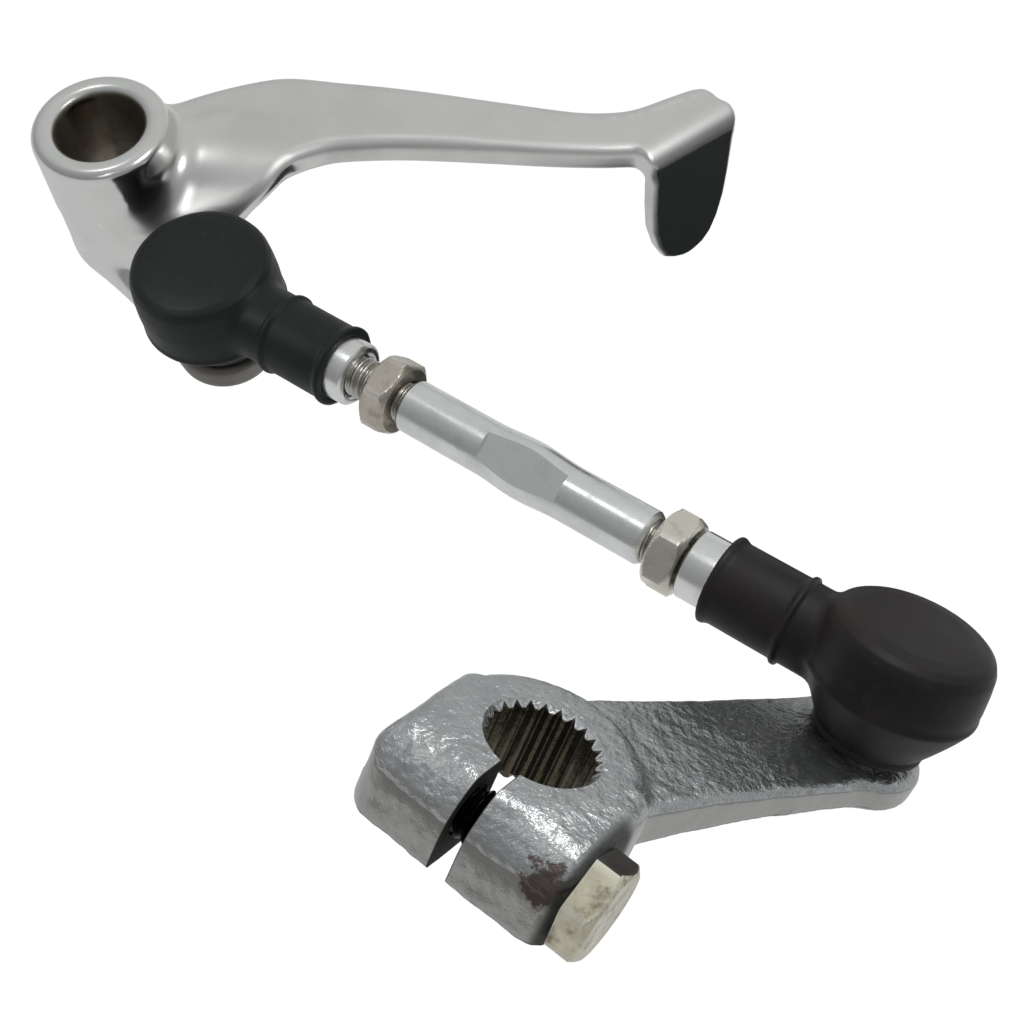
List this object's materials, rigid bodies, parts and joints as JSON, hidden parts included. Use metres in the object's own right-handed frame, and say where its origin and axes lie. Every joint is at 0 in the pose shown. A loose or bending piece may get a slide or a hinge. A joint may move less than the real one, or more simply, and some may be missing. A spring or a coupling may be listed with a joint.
{
  "type": "gear shift lever assembly",
  "caption": "Motorcycle gear shift pedal on a pivot tube, joined by a booted ball-joint tie rod with lock nuts to a splined clamp lever with its pinch bolt.",
  "frame": {"origin": "Middle of the pedal's pivot bore.", "axes": "Z runs along the pivot bore toward the tube's open upper end, X toward the toe tab, Y away from the tie rod."},
  "size_m": [0.1284, 0.1375, 0.0589],
  "materials": {
    "chromed_steel": "satin to bright chrome plating",
    "cast_chrome": "chrome over a rough casting, pitted",
    "stud_steel": "turned steel, lightly greased",
    "seat_plastic": "moulded, smooth",
    "zinc_plated_steel": "bright zinc plating, turned",
    "plug_steel": "pressed sheet, zinc plated",
    "rod_plating": "bright zinc plating, drawn bar",
    "nut_plating": "warm grey plating",
    "bolt_plating": "yellowish zinc plating, dulled",
    "boot_rubber": "moulded rubber, matt sheen"
  },
  "bodies": {
    "pedal": {"pedal_lever": "chromed_steel", "front_stud": "stud_steel"},
    "front_liner": {"front_seat": "seat_plastic"},
    "link": {"front_socket": "zinc_plated_steel", "front_plug": "plug_steel", "front_boot": "boot_rubber", "front_nut": "nut_plating", "tie_rod": "rod_plating", "rear_nut": "nut_plating", "rear_boot": "boot_rubber", "rear_plug": "plug_steel", "rear_socket": "zinc_plated_steel"},
    "rear_liner": {"rear_seat": "seat_plastic"},
    "clamp": {"clamp_lever": "cast_chrome", "clamp_bolt": "bolt_plating", "rear_stud": "stud_steel"}
  },
  "joints": [
    {"name": "front_swing", "type": "hinge", "parent": "pedal", "child": "front_liner", "pos_m": [0.01687, -0.02222, 0.0019], "axis": [0, 0, 1], "range_deg": [-25, 25]},
    {"name": "front_tilt", "type": "hinge", "parent": "front_liner", "child": "link", "pos_m": [0.01687, -0.02222, 0.0019], "axis": [0.5664, 0.8241, 0], "range_deg": [-1.5, 9]},
    {"name": "rear_tilt", "type": "hinge", "parent": "link", "child": "rear_liner", "pos_m": [0.10714, -0.08426, 0.00956], "axis": [0.489, 0.6381, -0.5948], "range_deg": [-9, 1.5]},
    {"name": "rear_swing", "type": "hinge", "parent": "rear_liner", "child": "clamp", "pos_m": [0.10714, -0.08426, 0.00956], "axis": [0.351, 0.4803, 0.8038], "range_deg": [-25, 25]}
  ]
}
